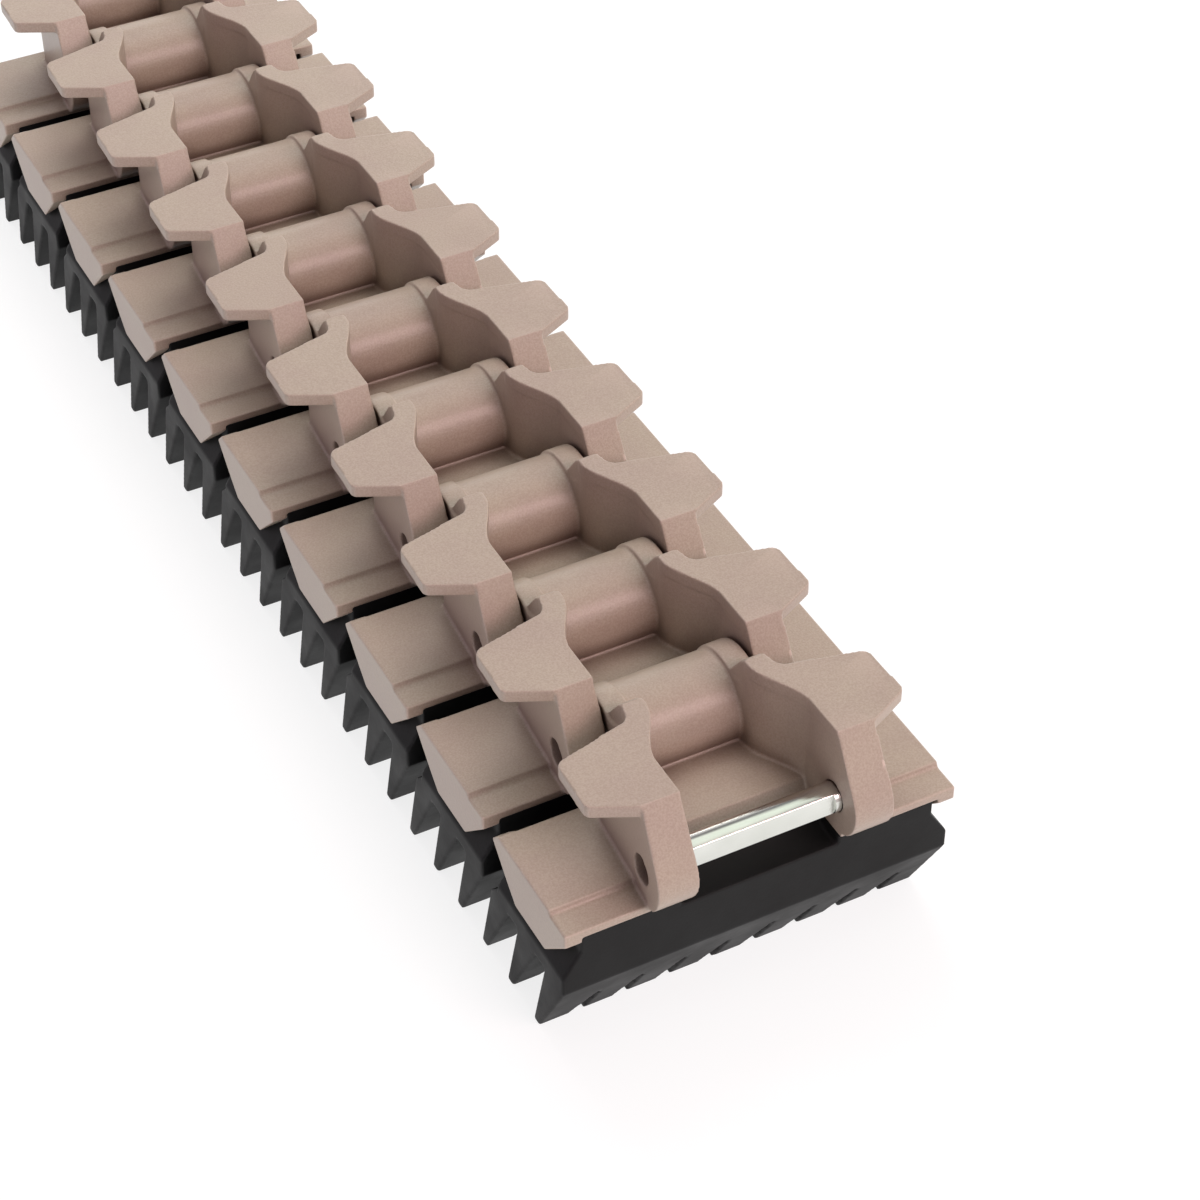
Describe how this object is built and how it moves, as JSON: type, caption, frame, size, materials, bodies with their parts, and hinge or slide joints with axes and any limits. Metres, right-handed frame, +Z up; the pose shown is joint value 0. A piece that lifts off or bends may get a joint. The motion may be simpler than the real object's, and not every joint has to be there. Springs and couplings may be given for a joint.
{
  "type": "rubber track chain",
  "caption": "Side-flexing moulded chain with flared horns, steel pins in swivelling pivots, and a toothed rubber pad under every link.",
  "frame": {"origin": "middle of the run in plan, on the ground under the tooth tips", "axes": "+Y along the run from the bare front pin to the empty rear eye, +Z up through the horns, +X across to the right, seen from the front"},
  "size_m": [0.082, 0.3524, 0.0578],
  "materials": {
    "moulded_plastic": "satin, finely grained, warm tan",
    "black_rubber": "matte moulded",
    "polished_steel": "polished",
    "pivot_plastic": "satin"
  },
  "bodies": {
    "link_01": {"link_01_body": "moulded_plastic", "link_01_pad": "black_rubber", "link_01_pin": "polished_steel"},
    "pivot_01": {"link_01_pivot": "pivot_plastic"},
    "link_02": {"link_02_body": "moulded_plastic", "link_02_pad": "black_rubber", "link_02_pin": "polished_steel"},
    "pivot_02": {"link_02_pivot": "pivot_plastic"},
    "link_03": {"link_03_body": "moulded_plastic", "link_03_pad": "black_rubber", "link_03_pin": "polished_steel"},
    "pivot_03": {"link_03_pivot": "pivot_plastic"},
    "link_04": {"link_04_body": "moulded_plastic", "link_04_pad": "black_rubber", "link_04_pin": "polished_steel"},
    "pivot_04": {"link_04_pivot": "pivot_plastic"},
    "link_05": {"link_05_body": "moulded_plastic", "link_05_pad": "black_rubber", "link_05_pin": "polished_steel"},
    "pivot_05": {"link_05_pivot": "pivot_plastic"},
    "link_06": {"link_06_body": "moulded_plastic", "link_06_pad": "black_rubber", "link_06_pin": "polished_steel"},
    "pivot_06": {"link_06_pivot": "pivot_plastic"},
    "link_07": {"link_07_body": "moulded_plastic", "link_07_pad": "black_rubber", "link_07_pin": "polished_steel"},
    "pivot_07": {"link_07_pivot": "pivot_plastic"},
    "link_08": {"link_08_body": "moulded_plastic", "link_08_pad": "black_rubber", "link_08_pin": "polished_steel"},
    "pivot_08": {"link_08_pivot": "pivot_plastic"},
    "link_09": {"link_09_body": "moulded_plastic", "link_09_pad": "black_rubber", "link_09_pin": "polished_steel"},
    "pivot_09": {"link_09_pivot": "pivot_plastic"},
    "link_10": {"link_10_body": "moulded_plastic", "link_10_pad": "black_rubber", "link_10_pin": "polished_steel"},
    "pivot_10": {"link_10_pivot": "pivot_plastic"}
  },
  "joints": [
    {"name": "flex_01", "type": "hinge", "parent": "link_01", "child": "pivot_01", "pos_m": [0, -0.13485, 0.0416], "axis": [1, 0, 0], "range_deg": [-3, 30]},
    {"name": "swivel_01", "type": "hinge", "parent": "pivot_01", "child": "link_02", "pos_m": [0, -0.13485, 0.0416], "axis": [0, 0, 1], "range_deg": [-3, 3]},
    {"name": "flex_02", "type": "hinge", "parent": "link_02", "child": "pivot_02", "pos_m": [0, -0.10135, 0.0416], "axis": [1, 0, 0], "range_deg": [-3, 30]},
    {"name": "swivel_02", "type": "hinge", "parent": "pivot_02", "child": "link_03", "pos_m": [0, -0.10135, 0.0416], "axis": [0, 0, 1], "range_deg": [-3, 3]},
    {"name": "flex_03", "type": "hinge", "parent": "link_03", "child": "pivot_03", "pos_m": [0, -0.06785, 0.0416], "axis": [1, 0, 0], "range_deg": [-3, 30]},
    {"name": "swivel_03", "type": "hinge", "parent": "pivot_03", "child": "link_04", "pos_m": [0, -0.06785, 0.0416], "axis": [0, 0, 1], "range_deg": [-3, 3]},
    {"name": "flex_04", "type": "hinge", "parent": "link_04", "child": "pivot_04", "pos_m": [0, -0.03435, 0.0416], "axis": [1, 0, 0], "range_deg": [-3, 30]},
    {"name": "swivel_04", "type": "hinge", "parent": "pivot_04", "child": "link_05", "pos_m": [0, -0.03435, 0.0416], "axis": [0, 0, 1], "range_deg": [-3, 3]},
    {"name": "flex_05", "type": "hinge", "parent": "link_05", "child": "pivot_05", "pos_m": [0, -0.00085, 0.0416], "axis": [1, 0, 0], "range_deg": [-3, 30]},
    {"name": "swivel_05", "type": "hinge", "parent": "pivot_05", "child": "link_06", "pos_m": [0, -0.00085, 0.0416], "axis": [0, 0, 1], "range_deg": [-3, 3]},
    {"name": "flex_06", "type": "hinge", "parent": "link_06", "child": "pivot_06", "pos_m": [0, 0.03265, 0.0416], "axis": [1, 0, 0], "range_deg": [-3, 30]},
    {"name": "swivel_06", "type": "hinge", "parent": "pivot_06", "child": "link_07", "pos_m": [0, 0.03265, 0.0416], "axis": [0, 0, 1], "range_deg": [-3, 3]},
    {"name": "flex_07", "type": "hinge", "parent": "link_07", "child": "pivot_07", "pos_m": [0, 0.06615, 0.0416], "axis": [1, 0, 0], "range_deg": [-3, 30]},
    {"name": "swivel_07", "type": "hinge", "parent": "pivot_07", "child": "link_08", "pos_m": [0, 0.06615, 0.0416], "axis": [0, 0, 1], "range_deg": [-3, 3]},
    {"name": "flex_08", "type": "hinge", "parent": "link_08", "child": "pivot_08", "pos_m": [0, 0.09965, 0.0416], "axis": [1, 0, 0], "range_deg": [-3, 30]},
    {"name": "swivel_08", "type": "hinge", "parent": "pivot_08", "child": "link_09", "pos_m": [0, 0.09965, 0.0416], "axis": [0, 0, 1], "range_deg": [-3, 3]},
    {"name": "flex_09", "type": "hinge", "parent": "link_09", "child": "pivot_09", "pos_m": [0, 0.13315, 0.0416], "axis": [1, 0, 0], "range_deg": [-3, 30]},
    {"name": "swivel_09", "type": "hinge", "parent": "pivot_09", "child": "link_10", "pos_m": [0, 0.13315, 0.0416], "axis": [0, 0, 1], "range_deg": [-3, 3]},
    {"name": "spin_10", "type": "hinge", "parent": "link_10", "child": "pivot_10", "pos_m": [0, 0.16665, 0.0416], "axis": [1, 0, 0], "continuous": true}
  ]
}
